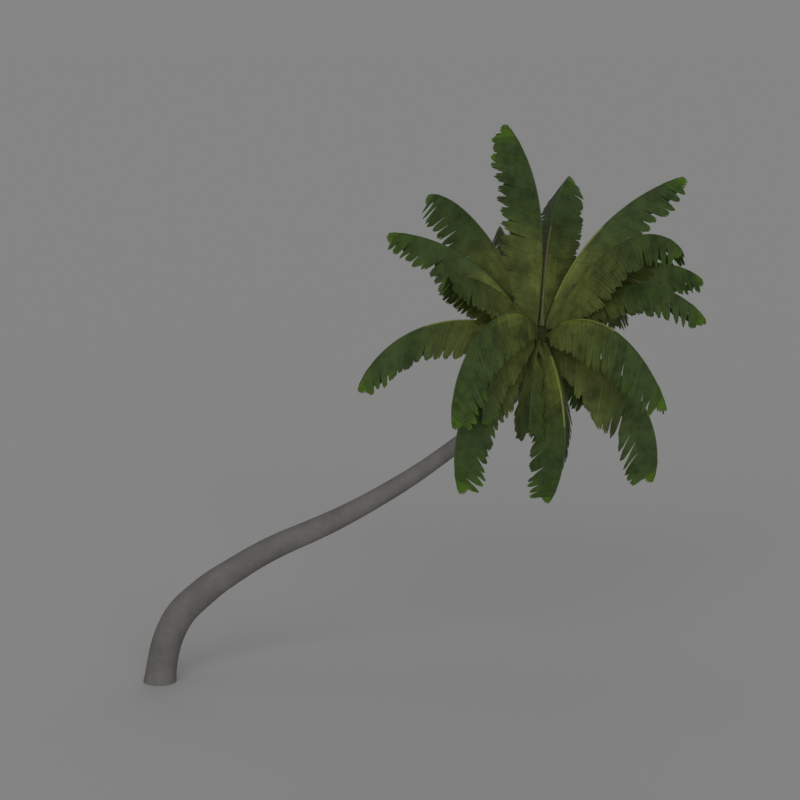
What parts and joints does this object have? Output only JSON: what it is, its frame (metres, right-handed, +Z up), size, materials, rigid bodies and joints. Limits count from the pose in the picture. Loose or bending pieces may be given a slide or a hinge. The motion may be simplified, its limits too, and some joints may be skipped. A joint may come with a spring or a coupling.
{
  "type": "leaning coconut palm tree",
  "caption": "Leaning coconut palm: a bare, curved, tapering trunk rooted in the ground, with a full crown of arching feather fronds.",
  "frame": {"origin": "middle of the flat cut under the trunk, at ground level", "axes": "+Z up, +X the way the trunk leans, so the viewer of the picture looks along +Y"},
  "size_m": [12.5324, 7.8168, 12.5257],
  "materials": {
    "bark": "matt, smooth grey-brown bark with faint leaf scars",
    "leaf_base": "matt, olive leaf bases and fibre",
    "foliage": "satin green leaflets, olive towards the heart and bright at the tips"
  },
  "bodies": {
    "root": {"trunk": "bark", "crown_heart": "leaf_base", "frond_01": "foliage", "frond_02": "foliage", "frond_03_inner": "foliage", "frond_03_outer": "foliage", "frond_04": "foliage", "frond_05_inner": "foliage", "frond_05_outer": "foliage", "frond_06_inner": "foliage", "frond_06_outer": "foliage", "frond_07": "foliage", "frond_08": "foliage", "frond_09_inner": "foliage", "frond_09_outer": "foliage", "frond_10_inner": "foliage", "frond_10_outer": "foliage", "frond_11_inner": "foliage", "frond_11_outer": "foliage", "frond_12_inner": "foliage", "frond_12_outer": "foliage", "frond_13_inner": "foliage", "frond_13_outer": "foliage", "frond_14_inner": "foliage", "frond_14_outer": "foliage", "frond_15_inner": "foliage", "frond_15_outer": "foliage", "frond_16": "foliage", "frond_17": "foliage", "frond_18": "foliage", "frond_19": "foliage", "frond_20": "foliage", "frond_21": "foliage", "frond_22": "foliage", "frond_23": "foliage", "frond_24": "foliage", "frond_25": "foliage"}
  },
  "joints": []
}
